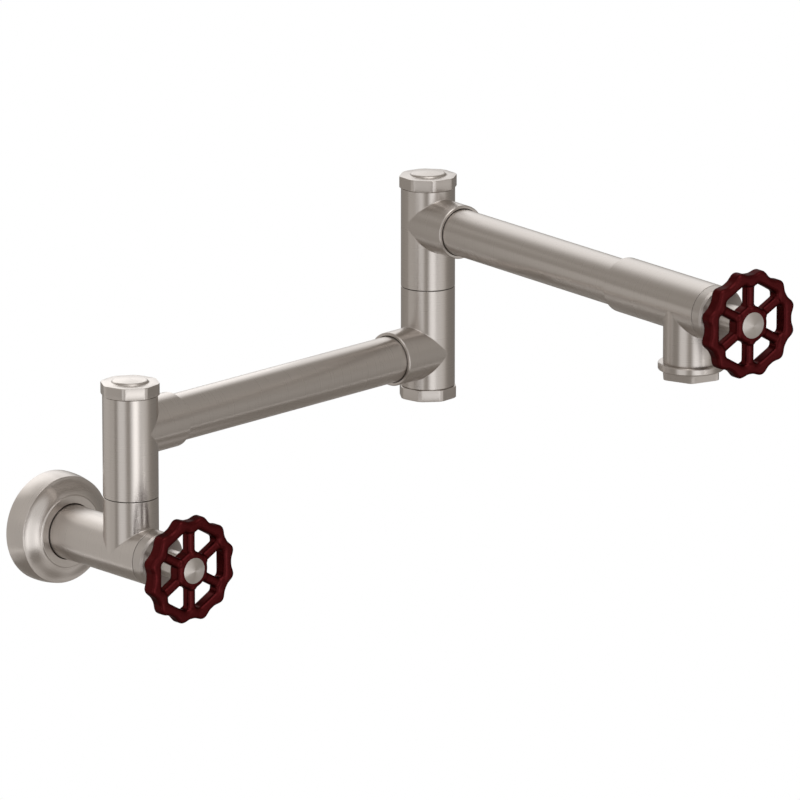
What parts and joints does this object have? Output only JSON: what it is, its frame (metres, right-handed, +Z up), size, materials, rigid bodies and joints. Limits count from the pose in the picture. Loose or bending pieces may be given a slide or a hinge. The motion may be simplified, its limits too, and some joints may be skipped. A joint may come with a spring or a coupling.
{
  "type": "wall mounted pot filler",
  "caption": "Wall mounted pot filler tap with folding arms on upright swivel columns and a quarter-turn handwheel valve at the wall and at the outlet.",
  "frame": {"origin": "centre of the inlet's mouth, in the plane of the flange's back face on the wall", "axes": "+Y into the wall along the inlet, +Z up, +X to the right seen from the room"},
  "size_m": [0.3017, 0.3554, 0.2122],
  "materials": {
    "nickel": "brushed satin nickel over brass",
    "wheel_paint": "satin dark burgundy",
    "brass": "machined",
    "rubber": "matt black",
    "ceramic": "lapped white alumina",
    "plastic": "white acetal"
  },
  "bodies": {
    "wall_side": {"wall_flange": "nickel", "wall_gasket": "rubber", "flange_o_ring": "rubber", "shutoff_body": "nickel", "shutoff_cartridge": "brass", "shutoff_fixed_disc": "ceramic", "shutoff_seat_seal": "rubber", "shutoff_cartridge_o_ring": "rubber", "shutoff_bonnet": "nickel", "swivel_1_post": "brass", "swivel_1_o_rings": "rubber", "swivel_1_washer": "rubber", "swivel_1_lock_nut": "brass"},
    "shutoff_handle": {"shutoff_stem": "brass", "shutoff_moving_disc": "ceramic", "shutoff_stem_o_rings": "rubber", "shutoff_wheel": "wheel_paint", "shutoff_wheel_neck": "nickel", "shutoff_wheel_screw": "nickel", "shutoff_wheel_cap": "nickel"},
    "first_arm": {"column_1_head": "nickel", "column_1_bush": "plastic", "column_1_cap": "nickel", "column_1_cap_seal": "rubber", "arm_1_tube": "nickel", "arm_1_seals": "rubber", "column_2_base": "nickel", "column_2_bottom_cap": "nickel", "column_2_bottom_seal": "rubber", "swivel_2_post": "brass", "swivel_2_o_rings": "rubber", "swivel_2_washer": "rubber", "swivel_2_lock_nut": "brass"},
    "second_arm": {"column_2_head": "nickel", "column_2_bush": "plastic", "column_2_cap": "nickel", "column_2_cap_seal": "rubber", "arm_2_tube": "nickel", "arm_2_seals": "rubber", "outlet_body": "nickel", "outlet_cartridge": "brass", "outlet_fixed_disc": "ceramic", "outlet_seat_seal": "rubber", "outlet_cartridge_o_ring": "rubber", "outlet_bonnet": "nickel", "aerator_nut": "nickel", "aerator_washer": "rubber", "aerator_insert": "plastic"},
    "outlet_handle": {"outlet_stem": "brass", "outlet_moving_disc": "ceramic", "outlet_stem_o_rings": "rubber", "outlet_wheel": "wheel_paint", "outlet_wheel_neck": "nickel", "outlet_wheel_screw": "nickel", "outlet_wheel_cap": "nickel"}
  },
  "joints": [
    {"name": "arm_1_swivel", "type": "hinge", "parent": "wall_side", "child": "first_arm", "pos_m": [0, -0.0744, 0.0715], "axis": [0, 0, 1], "range_deg": [-197, 3]},
    {"name": "arm_2_swivel", "type": "hinge", "parent": "first_arm", "child": "second_arm", "pos_m": [0.25211, -0.04344, 0.149], "axis": [0, 0, 1], "continuous": true},
    {"name": "shutoff_wheel_turn", "type": "hinge", "parent": "wall_side", "child": "shutoff_handle", "pos_m": [0, -0.0744, 0], "axis": [0, -1, 0], "range_deg": [0, 90]},
    {"name": "outlet_wheel_turn", "type": "hinge", "parent": "second_arm", "child": "outlet_handle", "pos_m": [0.22997, -0.29648, 0.149], "axis": [-0.0872, -0.9962, 0], "range_deg": [0, 90]}
  ]
}
